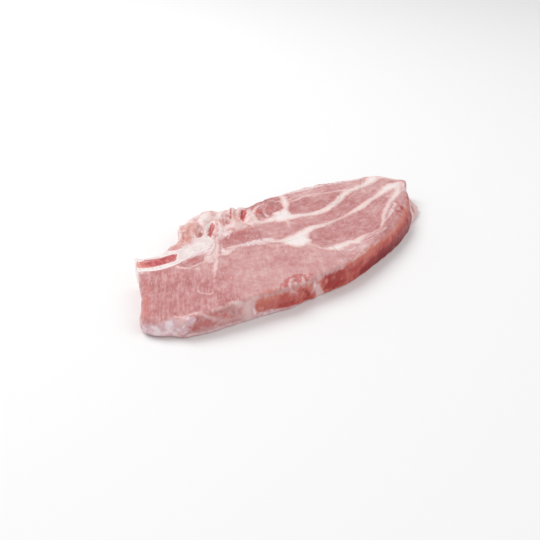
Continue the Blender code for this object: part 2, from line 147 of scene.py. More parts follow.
# Seams of fat between the muscles. They run through the slab, so each is x, y and half width.
FAT_SEAMS = (
    # the round knot beside the upper muscle, and its seam out to the narrow end
    ((2, 15.5, 3.6), (6, 18.5, 6.2), (9, 19, 5), (11, 22.5, 2.8)),
    ((8, 14.5, 3.6), (15, 13, 2.6), (20, 11.5, 2.2), (25, 10.2, 2.5), (30, 9.5, 2.6), (35, 9.8, 2.6),
     (40, 11, 2.5), (45, 12.8, 2.4), (50, 14.8, 2.4), (55, 17.5, 2.4), (60, 19.9, 2.4), (65, 21.7, 2.4),
     (70, 22.6, 2.4), (75, 23.2, 2.4), (80, 23.7, 2.5), (85, 24.3, 2.6), (90, 26, 3.2), (95, 28.5, 4.2),
     (98.5, 29.5, 3)),
    ((100, 28, 1.6), (104.5, 25.5, 1.5), (107, 22, 1.2), (109, 19.5, 0.9)),
    # the largest knot and its seam to the narrow end
    ((-10.5, -9, 3.6), (-6, -11.5, 7.2), (-3.5, -12.5, 6.6)),
    ((-1, -9, 5), (5, -6.3, 3.6), (10, -4.7, 3.2), (15, -4.6, 2.5), (20, -5.1, 2.1), (25, -5.4, 1.7),
     (30, -4.6, 1.2), (35, -4.3, 1), (40, -3.9, 1.2), (45, -2.9, 1.4), (50, -1.8, 1.9), (55, -0.6, 2.1),
     (60, 0.9, 2.1), (65, 2.5, 2.1), (70, 4.2, 2), (75, 5.6, 2), (80, 7.1, 2.1), (85, 8.8, 2.7),
     (90, 10.4, 3.5), (95, 11.6, 3.9), (100, 12.6, 4.4), (104, 13.8, 3.4), (107.5, 14.8, 1.8)),
    # under the eye muscle, then along the start of the roll
    ((-2, -18.5, 0.7), (0.2, -22, 0.7), (1.2, -26, 0.6), (3.5, -28.4, 0.9)),
    ((3.5, -28.5, 0.9), (6.5, -30, 2.4), (10, -31, 3.2), (15, -30.8, 2.8), (20, -31, 2.4),
     (24, -32.2, 2.9), (27, -31.2, 2.1), (31, -29.6, 1.4), (36, -29, 0.8), (42, -29.1, 0.7),
     (47, -28.4, 0.7), (50.5, -26.6, 0.8), (55, -23.4, 1), (60, -18.7, 1.3), (65, -14.6, 1.5),
     (70, -11, 1.6), (75, -7.8, 1.5), (80, -4.6, 1.5), (85, -1.8, 2), (90, 0.6, 2.5), (95, 3.4, 2.4),
     (99, 6.6, 2.2), (103, 10.5, 2)),
    ((24, -33, 1.6), (25, -36.5, 0.6)),
    ((8, -33, 1), (13, -35, 0.4)),
    ((28, -31.8, 0.5), (35, -31.3, 0.4), (43, -31, 0.4), (50, -30, 0.3)),
    # towards the backbone
    ((-11, -8, 3), (-16, -5.6, 1.6), (-21, -3.4, 0.9), (-26, -2, 0.3), (-31, -0.6, -0.4)),
    ((-33, 2.4, 0.1), (-38, 2.6, 0.7), (-42, 3.2, 1.1), (-45.6, 4, 0.4)),
    ((-44, 0.2, 0.7), (-48, -0.6, 1.6), (-52, -0.4, 0.9), (-57, 0.6, 1), (-62, 0.2, 0.8)),
    ((-42.5, 17.5, 0.8), (-45, 14, 0.8), (-48, 9, 0.9), (-51, 5, 1.1), (-54.5, 0.5, 1), (-58, -5.5, 1),
     (-61, -9, 1.3), (-63.6, -12.2, 1.3), (-65.6, -15.2, 0.7), (-67.3, -18.2, 0.2)),
    ((-78.5, 4, 0.9), (-77, 1.2, 0.8), (-74, -1.6, 0.7), (-69.8, -2.7, 0.7), (-64, -2.1, 0.7),
     (-60, -1, 1.2)),
    ((-59, 2, 2.2), (-56, 4.5, 1.6)),
    # the webs round the upper muscles
    ((12, 22, 2.4), (15, 26, 1.9), (18, 30, 2.2), (20.5, 34, 2.5), (22.5, 38, 2), (23.5, 42, 1.6)),
    ((20, 31, 1), (24.5, 31.5, 0.6), (30, 31.6, 0.7), (36, 32.6, 0.8), (42, 31.2, 0.7), (48, 30.2, 0.6),
     (54, 28.6, 0.6), (60, 27, 0.6), (64, 25.4, 1.2), (66, 23, 1.2)),
    ((24, 34.6, 0.5), (30, 34.9, 0.5), (36, 34.2, 0.6), (42, 33.4, 0.5), (47, 31.6, 0.4)),
    ((23, 38.6, 0.6), (29, 37.2, 0.4), (36, 36.3, 0.5), (42, 36.4, 0.4), (47, 37.6, 0.4)),
    ((66, 25.5, 0.5), (72, 27, 0.3), (80, 27.2, 0.4)),
    ((-18.5, 25.5, 1.4), (-15.5, 20.8, 1.8), (-11, 18.6, 2.2), (-6, 18.2, 2.2), (-1, 18, 3)),
    ((-12.5, 20.5, 1.6), (-10.5, 25, 1.4), (-9, 29.5, 1.5), (-5.5, 33, 1.3), (0, 36.4, 0.8),
     (6, 38.4, 0.6)),
    ((-2, 23, 1.2), (-1, 27, 0.6), (2, 31.5, 0.5)),
    ((4.5, 12, 1.2), (3.8, 8, 0.8), (1.6, 3.8, 0.4)),
    ((5.5, 9.6, 0.6), (7.6, 4.6, 0.4)),
    ((12, 38.5, 0.6), (16, 36.5, 0.5), (19, 35, 0.8)),
    # the block of white fat round the backbone
    ((-42, 33, 1.6), (-40, 38.5, 3.6), (-36.5, 42, 4.2), (-33, 45, 3.4), (-32, 48.5, 1.2)),
    ((-31, 38, 1.4), (-26, 41.5, 2.6), (-21, 43, 1.6)),
    ((-31.5, 26, 2), (-27, 25.5, 2.6), (-24, 28, 1.8), (-22, 31.5, 0.9)),
    ((-46.5, 36, 0.7), (-45.5, 31, 0.6), (-47.5, 27, 0.6)),
    ((-20, 24, 1), (-16, 26, 2), (-12, 27, 2.2), (-9, 28.5, 1.2)),
    ((-58.5, 40, -0.4), (-55, 42.2, 0.3), (-50, 44.4, 0.2), (-44, 46.4, 0.6)),
    # the small hook in the left muscle, and the film along the front rim
    ((-79.6, -21.6, -0.1), (-80.6, -24.4, 0.2), (-79.2, -27.4, 0.4), (-77.2, -29.6, 0.6),
     (-75.3, -29, 0.5), (-74, -27, 0.1)),
    ((-101, -32.6, 0.2), (-98, -35.6, 0.6), (-95, -36.8, 0.5), (-91.5, -37.6, 0.7),
     (-89.8, -39.4, 0.6)),
    ((-83.6, -41.2, 0.1), (-80.6, -41.6, 0.4), (-77.5, -42.4, 0.3), (-74.8, -43.4, 0.3)),
)

# Fat and film that show on the front side: x, y, height and half width.
SIDE_FAT = (
    ((-90.6, -39.4, 12, 0.5), (-87.5, -42, 10.8, 0.8), (-84.8, -42.8, 9.4, 0.8),
     (-81.6, -43.3, 7.1, 0.8), (-78.1, -43.5, 5.4, 0.7), (-74.6, -44, 4.7, 0.7),
     (-68.7, -44.5, 4.5, 0.9)),
    ((-113.6, -24.5, 1.6, 0.5), (-109.6, -31, 0.9, 0.7), (-104, -34.6, 0.8, 0.8),
     (-98.5, -38.6, 0.8, 1), (-90, -41.6, 0.8, 0.8), (-80, -43, 0.7, 0.6), (-70, -44.2, 0.7, 0.7)),
    ((-97.5, -36.4, 11.3, 1), (-99, -37.9, 10, 1.3), (-100.4, -38.3, 8.4, 1.3),
     (-101.4, -37.9, 6.4, 1.2), (-101.5, -37.9, 3.6, 1.4)),
    ((-74, -43.4, 13.5, 0.4), (-72.4, -44.3, 11, 0.4), (-70.5, -44.4, 7.8, 0.5),
     (-68.7, -44.5, 4.5, 0.9)),
    ((-69.5, -43.7, 13.9, 0.6), (-67, -44.9, 12.3, 0.9), (-64, -45.2, 10, 3), (-64.5, -45, 5, 3.4),
     (-63.5, -45, 1.5, 3.6)),
    ((-64, -44.9, 12, 1.2), (-60.5, -45.4, 12.9, 1), (-58, -45.2, 14, 0.6)),
    ((-60.9, -43.6, 15, 0.5), (-60.2, -45, 13.2, 0.8)),
    ((-74.5, -42.4, 13.6, 0.6), (-71, -43.3, 13.4, 1.4), (-68.4, -44.6, 12, 1.7)),
    ((-39.2, -48.2, 11.4, 0.8), (-38.5, -48.9, 9.6, 0.8), (-37.4, -48.9, 8.4, 0.5)),
    ((-38.4, -48.6, 11.6, 0.8), (-36, -48.8, 10.4, 0.8), (-34.2, -48.8, 8.5, 0.7)),
    ((-17.6, -47.2, 13.4, 0.8), (-18.4, -48, 11.5, 1.8), (-18.8, -48.3, 7.5, 2.4),
     (-17.6, -48.4, 3, 2.8), (-17, -48.3, 0.8, 3.4)),
    ((84, -21.5, 2, 1), (93, -15.8, 2, 1.8), (101, -10.5, 2.4, 2.4), (106.5, -5, 2.6, 3),
     (109, 1, 2.6, 3), (112, 8, 2.4, 2.6), (113.8, 12, 2, 1.6)),
    ((89.5, -17.4, 3.6, 1.2), (95, -13, 5.4, 2.4), (98.5, -7.5, 7, 2.6), (101.8, -1.8, 7.6, 3),
     (107.2, 4.4, 8, 3.2), (112, 10, 8, 2.6)),
)
# Scraps of fat and film on the upper edge of the front, seen from above, and the torn red
# lean between them.
SCRAPS = (
    ((-31, -41.8, 0.2), (-34, -43.2, 0.7), (-36.4, -44.7, 0.8), (-38.2, -46.6, 0.9), (-39, -48.4, 0.8)),
    ((-25.6, -43.4, 0.3), (-27.2, -45.2, 0.8), (-28.8, -47.2, 0.7)),
    ((-32.4, -45.6, 0.2), (-34, -46.8, 0.6), (-34.8, -48.2, 0.4)),
    ((-22.6, -42.6, 0.1), (-23.4, -44.6, 0.5)),
    ((-42.6, -45.6, 0.2), (-43.2, -47.6, 0.5)),
)
SCRAPED = (
    ((-59.8, 24.4, 0.4), (-57, 26.6, 0.9)),
    ((-31.2, 30.8, 0), (-28.8, 35.6, 0.5)),
    ((-20.2, 38, 0.2), (-17.8, 40.8, 0.8), (-16.2, 43, 0.6)),
    ((-40.8, 26.4, 0.2), (-37.2, 29.8, 1), (-33.6, 33, 0.5)),
    ((-4.8, 27.6, 1.2), (-2.4, 31.2, 1.2)),
    ((-69.5, 22.6, 0.6), (-66, 24, 0.6)),
    ((-43.4, -46.8, 1.6), (-39, -45.2, 2.4), (-34, -43.6, 2.8), (-29, -43.4, 3.2), (-24.4, -44.6, 2.2),
     (-21.6, -45.6, 1.2)),
)
# Chunks of torn lean between the bones, and the creases beside them, whose darker colour is painted
# shade.
CHUNKS = (
    ((-53, 39.6, 2.4), (-50, 36.6, 3.8), (-47, 40.6, 2.6), (-50.5, 42.4, 1.4)),
    ((-28.4, 45, 1.5), (-27.4, 48, 1.2)),
    ((-19.6, 30.6, 1.4), (-18, 34.6, 2), (-16.4, 38, 0.8)),
    ((-50.2, 28.6, 1), (-52.4, 31, 0.8)),
    ((-69, 19.6, 0.7), (-64.5, 22, 1.7), (-60, 24.2, 1.7), (-56.5, 26.6, 1.2)),
    ((-69, 24, 1.2), (-64, 26.2, 1.8), (-60.6, 29, 1)),
    ((-55, 30.4, 1), (-54, 33.6, 1)),
    ((-24.6, 36, 0.6), (-23, 39, 0.5)),
)
CREASES = (
    ((-48.8, 29, 0), (-46.2, 30.6, 0.9), (-44.6, 33.2, 0.2), (-44, 37.8, 0), (-43.4, 41, -0.3)),
    ((-42.4, 45, 0.3), (-41.2, 42.6, 0)),
    ((-44, 24, 0.3), (-42.8, 26.2, 0.5)),
    ((-36, 33.8, 0.2), (-34.6, 35.4, 0.4)),
    ((-22.4, 32.4, -0.1), (-20.8, 36.4, 0.2), (-18.8, 38.8, 0.2), (-16.8, 42, 0)),
    ((-16.2, 29.2, 0.3), (-14.8, 32.8, 0.6)),
    ((-11.6, 34.8, 0.3), (-10, 36.2, 0.5)),
    ((-52.6, 24.6, -0.5), (-50.6, 27, -0.2), (-49, 28.4, -0.4)),
    ((-57.6, 31, -0.3), (-55.8, 34.6, 0)),
    ((-31.2, 43.6, -0.2), (-29.8, 41.6, 0), (-27.6, 41.8, -0.3)),
    ((-62, 28.4, -0.3), (-60.4, 25, 0)),
    ((-27.6, 33.4, -0.3), (-25.2, 37, 0), (-24, 40.4, -0.3)),
)
# Lilac film over the muscle at the front corner.
FILM = (
    ((-113, -26.5, 3.4, 3.4), (-109, -31.5, 3.2, 4.6), (-104, -34.8, 5, 4.8), (-100, -37.4, 6.4, 3.4)),
    ((-97, -38.4, 9.6, 1.8), (-94.6, -39.4, 10.2, 1)),
    ((-21, -47.8, 10.5, 0.8), (-22, -48, 6, 0.8)),
    ((-62, -45.3, 9.5, 1.4), (-62.5, -45.3, 4, 2)),
    ((-61, -45.5, 3, 2.4), (-60, -45.5, 1.2, 1.8), (-54, -46.4, 1.4, 1.4), (-48, -47.4, 1.2, 1),
     (-42, -48.6, 1, 0.6), (-34, -48.6, 0.6, 0.2)),
    ((-98, -39.6, 1, 0.8), (-88, -42.4, 1, 0.8), (-76, -43.8, 1, 0.8), (-66, -44.8, 1, 1)),
)
# Salmon tint, where the cut lean has been in the air longest.
SALMON = (
    ((-97.4, 4, 11.8, 0.2), (-101.5, -5.5, 11, 0.8), (-106, -12.8, 10.2, 1.1), (-110.4, -20, 9.4, 1.4),
     (-111.6, -25, 8.6, 1)),
    ((-77, 20.6, 13.3, 1), (-71, 21.5, 14.2, 1.8), (-65, 23, 15, 1.6), (-60, 27, 14.5, 1.6)),
    ((-56, 36.5, 13.6, 1.6), (-51, 38, 14.8, 1.6)),
    ((-48, 30, 13, 1), (-46, 33, 13, 0.8)),
    ((-87, -41.4, 11.8, 0.8), (-82, -43, 10.4, 1.2), (-76.9, -43.7, 8.6, 1.6), (-72, -44.3, 5.8, 0.8)),
    ((-55.7, -46.2, 11.5, 1.8), (-51.5, -46.9, 9.8, 2.6), (-47, -47.6, 10.4, 1.6)),
    ((-35.8, -47.2, 13.4, 1), (-32, -47.8, 12.8, 1.2)),
    ((-58, -44.4, 14.4, 0.6), (-52, -45.6, 14.2, 1.5), (-45, -46.6, 13.8, 1.5)),
    ((2.8, -48.2, 8.4, 1.2), (5, -47.9, 6.2, 1.6), (8, -47.4, 3.4, 1)),
    ((4, -46.4, 13.6, 1.6), (14, -45, 13.2, 1.9), (24, -42.6, 13.2, 1.9), (36, -39, 12.8, 1.6),
     (48, -35, 12.6, 1.8), (58, -30.8, 12.4, 2), (68.5, -25.6, 12.2, 2.2), (78, -19.5, 12.2, 2.4),
     (86, -14, 12.4, 1.8)),
    ((84, -6.5, 14.9, 0.5), (80.2, -12, 14.5, 0.8)),
)
# Redder lean.
RED = (
    ((-98, -39.8, 4.4, 0.4), (-95, -40.8, 5.6, 1.4), (-91.5, -41.7, 7, 2), (-88, -42.3, 7, 2),
     (-84, -42.9, 5.2, 1.4), (-80, -43.3, 3.6, 0.6)),
    ((-81, -43.1, 9.8, 0.4), (-77.5, -43.6, 8.8, 1.1), (-73.6, -44.2, 6.6, 0.6)),
    ((-57.5, -45.7, 8, 1.8), (-53, -46.6, 6.4, 2.2), (-47, -47.6, 6.4, 2.6), (-41.5, -48.6, 5.6, 2.4),
     (-36, -48.9, 5.4, 2.4), (-28.8, -48.4, 6.4, 2.6), (-25, -48.1, 5, 1.8)),
    ((-42.5, -48.2, 12, 1), (-40.6, -48.7, 10.5, 1.2)),
    ((-37, -47, 13.6, 0.6), (-33, -48.4, 11.5, 1.2), (-28.8, -48.2, 11, 1.4)),
    ((-29.5, -45.4, 14, 0.6), (-29.2, -47.8, 12.6, 0.8)),
    ((-23.2, -47.6, 13, 0.8), (-22.6, -48, 11.4, 0.8)),
    ((73.3, -16.8, 14.6, 0.6), (78.9, -15.2, 14, 1.2), (84.5, -12, 13.4, 1.2), (87.5, -9.5, 13.4, 0.8)),
    ((76, -12.5, 15, 0.5), (82, -8.6, 15, 0.6), (87, -5.5, 14.8, 0.5)),
    ((66, -21.8, 14, 0.4), (73.5, -19.3, 13.9, 0.8), (80, -17.5, 13.2, 1)),
    ((103, 5, 14, 0.6), (106.5, 9, 14, 0.6)),
    ((-88, -1, 12.6, 0.5), (-83, -0.6, 13, 0.8), (-80.5, -4.5, 13.2, 0.6)),
    ((-73.5, 3.4, 13.4, 0.4), (-68, 3.6, 14, 0.8), (-62.5, 5.4, 14.4, 0.3)),
    ((-33, 13, 15, 0.8), (-27, 16, 15, 1.6), (-19, 16.5, 15, 1)),
    ((-36, 8.5, 15, 0.6), (-30, 9.5, 15, 0.6)),
    ((-2, 29, 15, 0.8), (3, 30.5, 15, 1.6), (9, 31, 15, 1)),
    ((-58.5, 26, 15, 0.7), (-55, 29, 15, 0.8)),
)
# The deepest red, low on the front.
DEEP = (
    ((-13, -47.9, 11.4, 1.4), (-8, -48, 9.6, 3.4), (-3, -48.1, 10, 2.6), (0.6, -48.2, 9.4, 1)),
    ((-11.5, -48.2, 5, 2), (-6, -48.2, 4.4, 2.8), (0, -48.2, 4, 2)),
    ((-54, -46.6, 4.6, -0.4), (-44, -48.2, 4.4, 0.6), (-36, -48.9, 4.6, 1)),
    ((-29.2, -47.9, 9, 0.8), (-26, -48.2, 5, 1.2)),
    ((-95.5, -40.9, 5, -0.6), (-91, -41.8, 6.2, -0.3)),
    ((74, -16.4, 14.6, 0.2), (79.5, -14.9, 14, 0.6), (84.5, -12, 13.4, 0.5)),
)
# The slots of the sawn backbone, red with old blood, and dark spots on the front side.
SLOTS = (
    ((-45.6, 21, 0.5), (-43.6, 23.8, 1), (-41.4, 26.8, 1.1), (-39, 29.8, 1.4), (-36.8, 32.6, 1.5),
     (-35.2, 34.8, 0.8)),
    ((-17.4, 26.6, 0.2), (-16, 29.4, 0.7), (-13.8, 32.4, 1.5), (-11.4, 35.4, 2), (-9.2, 38, 1.6)),
    ((-24.5, 32, -0.2), (-21.5, 35.6, 0.2), (-19.4, 38.6, 0.3)),
    ((-48.6, 27.4, -0.1), (-46.6, 31.4, 0.3)),
    ((-90.5, 21.7, 0.3), (-86, 19.8, 0.6), (-81.5, 18.5, 0.4)),
    ((-80, 10.4, 0.2), (-76.6, 10.4, 0.7), (-74.4, 11, 0.4)),
)
SPOTS = (
    ((-97, -40.4, 7, 0.5), (-96.4, -40.5, 6.6, 0.5)),
    ((-92.2, -41.5, 4.4, 0.5), (-91.6, -41.6, 4.2, 0.5)),
    ((-41.4, -48.7, 11.8, 0.5), (-40.8, -48.8, 11.2, 0.5)),
    ((-36.7, -48.9, 9.6, 0.6), (-35, -48.9, 8.8, 0.6)),
    ((-29, -45.3, 14, 0.4), (-28.6, -45.6, 14, 0.4)),
    ((-31.5, -48, 12.4, 0.4), (-30, -48, 12.8, 0.5)),
)
# Where marrow has stained the sawn end of the rib.
STAIN = (
    ((-92.6, 23.4, 0.5), (-94, 20.4, 0.9), (-93.6, 17.4, 1.2), (-91, 15, 0.8), (-87, 11.8, 0.3)),
)
# Pale sinew and the skin of the bones, which the lean grips.
SINEW = (
    ((-98.5, 13, 0.6), (-92, 12, 1.4), (-84, 9, 1.4), (-77, 8, 1.8), (-71, 11.6, 5.4), (-64, 13.1, 6.8),
     (-57, 13.6, 7.4), (-51.5, 17, 6.6), (-47.5, 21.4, 4.2), (-44, 25, 2.4)),
    ((-52, 9, 3.2), (-55, 4.5, 3.4), (-58.5, 0.8, 2.6), (-60.5, -3, 1.6)),
    ((-66.5, 16, 1.2), (-64.5, 20, 1), (-61.5, 23, 0.8)),
    ((-59, 18, 1.4), (-55.5, 23, 1), (-51, 27.5, 0.8)),
    ((-47, 38, 0.8), (-44, 32, 1.6), (-46, 26, 1.2)),
    ((-41, 24, 1.8), (-36, 29, 1.6), (-32, 33.5, 1.6), (-29, 37, 1.4)),
    ((-43, 14, 0.4), (-40.5, 16.4, 1.9), (-36.5, 18.4, 1.9), (-31.5, 20.6, 1)),
    ((-38, 20, 1.4), (-33, 25, 2.2), (-27.5, 27.5, 3), (-23, 31, 2), (-20, 34, 1.2)),
    ((-31, 40, 2.4), (-24, 43, 3.4), (-17, 41, 1.8)),
    ((-26, 38.5, 1.4), (-23, 35.6, 1.5), (-22, 32.4, 0.8)),
    ((-18.5, 27, 1.4), (-17.5, 33, 1.2), (-14, 38.5, 1.2), (-8.5, 41, 1.2)),
    ((-13, 27.5, 1.2), (-9, 32, 1.4), (-6, 36.5, 1.2)),
    ((-44, 12, -0.8), (-46.5, 7, 0), (-48, 2, 1.8), (-44, 1, 0.8), (-38, 2.4, 0.8), (-31, 0.8, 1.9),
     (-24, -1, 2.8), (-18, -3, 3)),
    ((22, -37.5, -0.3), (12, -36.5, 0.2), (4, -35, -0.4)),
    ((26, -35.5, -0.4), (38, -33.2, 0), (50, -29.4, 0), (57, -24.5, -0.4)),
    ((58.4, -21.6, 0.5), (66.8, -17.6, 0.6), (74.5, -12.6, 0.6), (81.2, -7.8, 0.5)),
    ((98.9, 3, 0.8), (103.5, 5.5, 1), (107.5, 10, 1.2), (109.6, 16, 1.2)),
    ((24, 42, 0.6), (35, 41.4, 0.8), (50, 41, 0.8), (62, 38.8, 0.8), (76, 35.4, 0.8), (90, 33.6, 1)),
    ((-76, 21.5, 0.5), (-70, 25, 0.7), (-64, 29.5, 0.7), (-59, 34, 0.8), (-55.5, 40.5, 0.8),
     (-52.5, 42.6, 0.8), (-42, 46, 1), (-33, 49, 1.2)),
    ((-106, -7, -0.2), (-109, -12, 0.3), (-112.6, -17, 0.5), (-115, -23, 0.7)),
)

# The muscles: x, y and reach of the middle, tone from pale (-1) to deep (1), the way its
# fibres run in degrees, and how plainly they show.
MUSCLES = (
    (-92, -14, 24, 0.45, 60, 1), (-84, -28, 18, 0.45, 60, 0.9), (-62, -16, 16, 0.15, 60, 0.6),
    (-42, -22, 24, -0.12, 60, 0.4), (-16, -34, 24, -0.15, 60, 0.3), (33, -16, 26, 0.45, 25, 0.5),
    (62, -7, 16, 0.25, 25, 0.7), (28, 3.5, 18, 0.15, 10, 0.5), (-8, 6, 14, 0.05, -15, 0.4),
    (62, 11, 14, 0.3, 24, 0.8), (86, 18.5, 14, -0.1, 20, 0.9), (30, 22, 16, 0.75, 20, 0.6),
    (50, 23, 10, 0.5, -12, 0.6), (-27, 14, 13, 0.8, 48, 0.7), (2, 31, 8, 0.6, 40, 0.8),
    (44, 37, 14, -0.35, 5, 0.9), (74, 31, 14, -0.2, -12, 0.9), (-53, 37, 9, -0.3, 60, 0.8),
    (-62, 14, 10, 0.1, 22, 0.8), (22, -38, 16, -0.6, 25, 0.9), (-69, 2.2, 6, 0.5, 5, 0.8),
)

# Patterns of meat and bone: lump size in millimetres, stretch along, across and up the fibres
# (None where the pattern doesn't follow them), detail and roughness. Bundles of fibres in a
# shoulder are about 1 mm wide; strands are drawn twice as wide, so that they show.
NOISES = (
    ("strands", 2.0, (0.14, 1.0, 0.5), 3.0, 0.55),
    ("threads", 0.9, (0.3, 1.0, 0.6), 2.0, 0.5),
    ("mottle", 5.3, None, 4.0, 0.6),
    ("blotches", 2.8, None, 1.0, 0.5),
    ("patches", 16.7, None, 3.0, 0.55),
    ("grain", 1.2, None, 2.0, 0.5),
)
# How far each pattern swings the lean's tone, where the fibres show and everywhere.
FIBRE_SWINGS = {"strands": 3.2, "threads": 1.8}
LEAN_SWINGS = {"mottle": 2.3, "blotches": 1.6, "patches": 2.0}
TONE_LIMITS = (-2.45, 2.05)
# How far the bump lifts fat over lean, in metres.
FAT_STEP = 0.00018
# Colours along a field: pale to deep lean; down the rolled side, redder and darker towards the
# bottom, partly the side's own red and partly painted shade; from the valleys to the ridges of torn
# lean, its own tone with painted shade darkening the valleys; and from the edge to the middle of fat.
LEAN_STEPS = (
    (0.0, "#f0dcd8"), (0.22, "#e3c3bf"), (0.42, "#d6a8a6"), (0.58, "#cb9393"), (0.74, "#bc7979"),
    (1.0, "#995457"),
)
ROLL_RED_AND_SHADE_STEPS = (
    (0.02, "#d6928a"), (0.12, "#d0766a"), (0.3, "#bb4c46"), (0.52, "#992125"), (0.85, "#800f16"),
)
TORN_TONE_AND_SHADE_STEPS = ((0.08, "#ad5f56"), (0.22, "#cb8c82"), (0.45, "#e6bdb6"), (0.75, "#f6e2de"))
FAT_STEPS = (
    (0.0, "#e0b2ae"), (0.26, "#e6c3bf"), (0.5, "#ecd2ce"), (0.75, "#f0dedb"), (1.0, "#f2e6e4"),
)
# Layers over the lean: the stored field, what makes its edge wander, where it starts and is
# full, how much it covers, and its colour.
REDDER_LAYERS = (
    ("salmon", {"strands": 1.3, "mottle": 1.6, "blotches": 0.6}, 0.2, 1.25, 0.5, "#d67c6a"),
    ("red", {"strands": 1.1, "mottle": 2.4, "blotches": 1.3}, 0.15, 1.25, 0.66, "#c46862"),
    ("deep", {"mottle": 2.0, "strands": 0.7, "blotches": 0.9}, 0.1, 1.0, 0.9, "#a63333"),
)
TORN_LAYERS = (
    ("chunks", {"strands": 1.2, "mottle": 1.4}, 0.2, 1.1, 0.75, "#dba49b"),
    ("scraped", {"strands": 1.2, "mottle": 1.6}, 0.2, 1.1, 0.75, "#bf5a55"),
    # painted shade darkening the creases
    ("creases", {"mottle": 0.7}, 0.2, 0.9, 0.75, "#a0504a"),
    ("blood", {"mottle": 0.7}, 0.25, 0.95, 0.88, "#c4494a"),
)
BONE_LAYERS = (
    ("rosy", {"threads": 1.6, "mottle": 1.2}, 0.4, 1.5, 0.8, "#e0a29b"),
    ("stain", {"mottle": 0.8, "threads": 0.5}, 0.3, 0.9, 0.85, "#dd7a6a"),
    ("blood", {"mottle": 0.7, "threads": 0.4}, 0.25, 0.95, 0.9, "#c04e4d"),
)
MARROW_LAYERS = (
    ("pale_end", {"mottle": 0.8}, 0.2, 0.9, 0.6, "#dc8474"),
    ("corner", {"mottle": 0.5}, 0.3, 0.8, 0.95, "#e8d6d2"),
)

FLOOR_REACH = 6.0
# The lamps: name, place and width in metres, and power in watts.
LAMPS = (("window", (-0.35, 0.75, 1.1), 0.9, 11.0), ("fill", (0.7, -0.9, 0.9), 1.4, 3.0))
# The camera's place, in the plan's millimetres, the directions to its right and up, and its lens.
CAMERA_PLACE = (-234.716, -282.939, 216.841)
CAMERA_RIGHT = (0.803027, -0.594979, 0.033883)
CAMERA_UP = (0.294081, 0.445081, 0.845824)
CAMERA_LENS = 45.6


def eased(start, end, value):
    """0 before start and 1 after end, with a smooth turn between them."""
    share = np.clip((value - start) / (end - start), 0, 1)
    return share * share * (3 - 2 * share)


def flowing(landmarks, step, closed=False):
    """A smooth curve through the landmarks, with its points about step apart."""
    points = np.array(landmarks, float)
    if closed:
        before, after, beyond = (np.roll(points, n, axis=0) for n in (1, -1, -2))
        here = points
    else:
        ends = np.concatenate([[2 * points[0] - points[1]], points, [2 * points[-1] - points[-2]]])
        before, here, after, beyond = ends[:-3], ends[1:-2], ends[2:-1], ends[3:]
    shares = np.linspace(0, 1, 24, endpoint=False)[:, None]
    pieces = []
    for a, b, c, d in zip(before, here, after, beyond):
        bend = 2 * a - 5 * b + 4 * c - d
        twist = 3 * b - a - 3 * c + d
        pieces.append(0.5 * (2 * b + (c - a) * shares + bend * shares**2 + twist * shares**3))
    fine = np.concatenate(pieces)
    fine = np.concatenate([fine, fine[:1] if closed else points[-1:]])
    spacing = np.linalg.norm(np.diff(fine[:, :2], axis=0), axis=1)
    along = np.concatenate([[0], np.cumsum(np.maximum(spacing, 1e-6))])
    count = max(3, round(along[-1] / step))
    places = np.linspace(0, along[-1], count, endpoint=not closed)
    return np.stack([np.interp(places, along, fine[:, i]) for i in range(fine.shape[1])], axis=1)


def rough(places, scale, seed):
    """Smooth noise from about -1 to 1 whose lumps are scale millimetres across."""
    deep = np.zeros((len(places), 3))
    deep[:, : places.shape[1]] = places / scale
    deep[:, 2] += seed
    return np.array([noise.noise(place) for place in deep.tolist()])


def turned(points, angle):
    """How far along a direction the points lie, and how far across it."""
    x, y = points[:, 0], points[:, 1]
    return x * np.cos(angle) + y * np.sin(angle), y * np.cos(angle) - x * np.sin(angle)


def gap_to(places, line, half=0):
    """How far places are from the nearest point of a line, less its half width there."""
    gaps = [np.zeros(0)]
    for start in range(0, len(places), BATCH):
        apart = places[start : start + BATCH, None] - line
        gaps.append((np.linalg.norm(apart, axis=2) - half).min(axis=1))
    return np.concatenate(gaps)


def inward_normals(ring, reach):
    """Unit vectors into an anticlockwise ring, evened out over reach points each way."""
    along = np.roll(ring, -1, axis=0) - np.roll(ring, 1, axis=0)
    normals = np.stack([-along[:, 1], along[:, 0]], axis=1)
    normals /= np.linalg.norm(normals, axis=1)[:, None]
    evened = sum(np.roll(normals, n, axis=0) * (reach + 1 - abs(n)) for n in range(-reach, reach + 1))
    return evened / np.linalg.norm(evened, axis=1)[:, None]


def face_height(places):
    """Height of the upper cut face above the underside at places in the plan."""
    x, y = places[:, 0], places[:, 1]
    height = THICKNESS + (RIB_END_THICKNESS - THICKNESS) * eased(*THINNING, x)
    for crag_x, crag_y, half_length, half_width, turn, rise in CRAGS:
        along, across = turned(places - (crag_x, crag_y), math.radians(turn))
        along, across = along / half_length, across / half_width
        height = height + rise * np.exp(-1.4 * (along * along + across * across))
    torn = eased(14, 30, y) * eased(8, -14, x)
    return height + 0.35 * rough(places, 19, 0) + torn * 0.6 * rough(places, 5, 3)


def torn_share(points):
    """How torn the surface is, from 0 on the clean cut to 1."""
    x, y = points[:, 0], points[:, 1]
    back = eased(17, 27, y + 0.12 * (x + 60)) * eased(0, -14, x) * eased(-76, -70, x)
    front = eased(-39.5, -43.5, y) * eased(-46, -41, x) * eased(-19, -23, x)
    return np.maximum(back, front)


def crests(points):
    """Torn strands, from 0 in the valleys to 1 on the ridges, lying as the bones do."""
    along, across = turned(points, math.radians(TORN_TURN))
    bent = across + 1.2 * rough(points, 8, 61)
    lying = np.column_stack([0.3 * along, bent, 0.6 * points[:, 2]])
    creases = np.abs(rough(lying, 7.4, 63)) + 0.25 * np.abs(rough(lying, 3.2, 67))
    return np.clip(0.1 + 1.7 * creases + 0.16 * rough(points, 1.5, 69), 0, 1)


